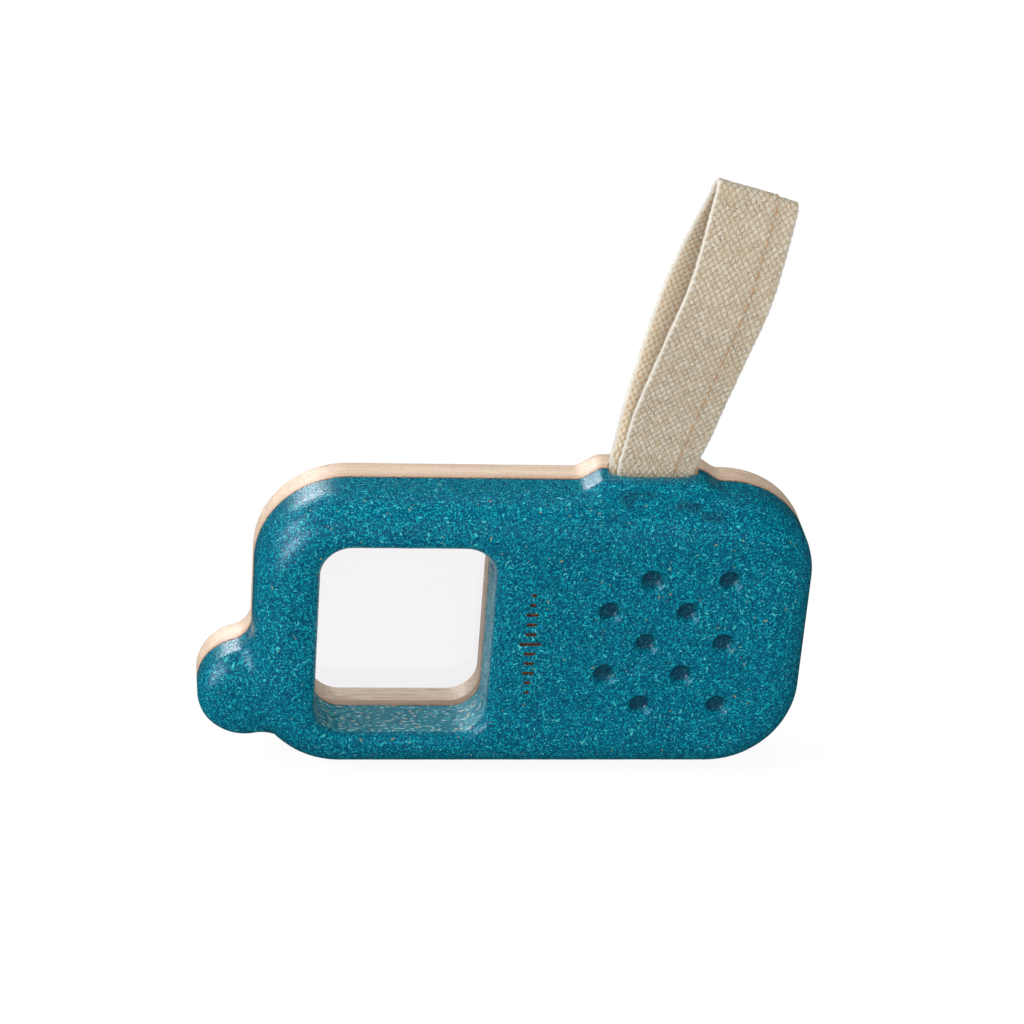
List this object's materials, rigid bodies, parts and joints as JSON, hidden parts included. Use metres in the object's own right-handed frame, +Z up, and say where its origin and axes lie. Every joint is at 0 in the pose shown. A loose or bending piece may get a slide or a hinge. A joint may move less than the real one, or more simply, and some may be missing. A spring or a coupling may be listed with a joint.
{
  "type": "toy walkie talkie",
  "caption": "Pretend walkie talkie: pressed-composite front and wooden back glued face to face, stub antenna, clear window, ear dimples and a swinging canvas wrist loop.",
  "frame": {"origin": "middle of the flat bottom edge of the composite front half, the edge that the toy stands on", "axes": "+X along the body towards the ear dimples (the stub antenna points to -X); +Z up, towards the wrist loop; the composite front faces -Y and the wooden back faces +Y"},
  "size_m": [0.1095, 0.019, 0.113],
  "materials": {
    "teal_composite": "dyed pressed sawdust composite, satin, fine light and dark flecks",
    "pale_wood": "fine sanded pale hardwood, oiled",
    "glue_line": "dark dried adhesive line",
    "clear_acrylic": "clear polished sheet",
    "canvas": "undyed basket-weave cotton canvas",
    "thread": "tan cotton sewing thread"
  },
  "bodies": {
    "body": {"front_panel": "teal_composite", "back_plate": "pale_wood", "bond_film": "glue_line", "window_pane": "clear_acrylic", "strap_anchor_dowel": "pale_wood", "strap_tails": "canvas", "closure_thread": "thread"},
    "strap": {"strap_loop": "canvas", "hem_thread": "thread"}
  },
  "joints": [
    {"name": "strap_swing", "type": "hinge", "parent": "body", "child": "strap", "pos_m": [0.0202, 0.0022, 0.0586], "axis": [1, 0, 0], "range_deg": [-70, 70]}
  ]
}
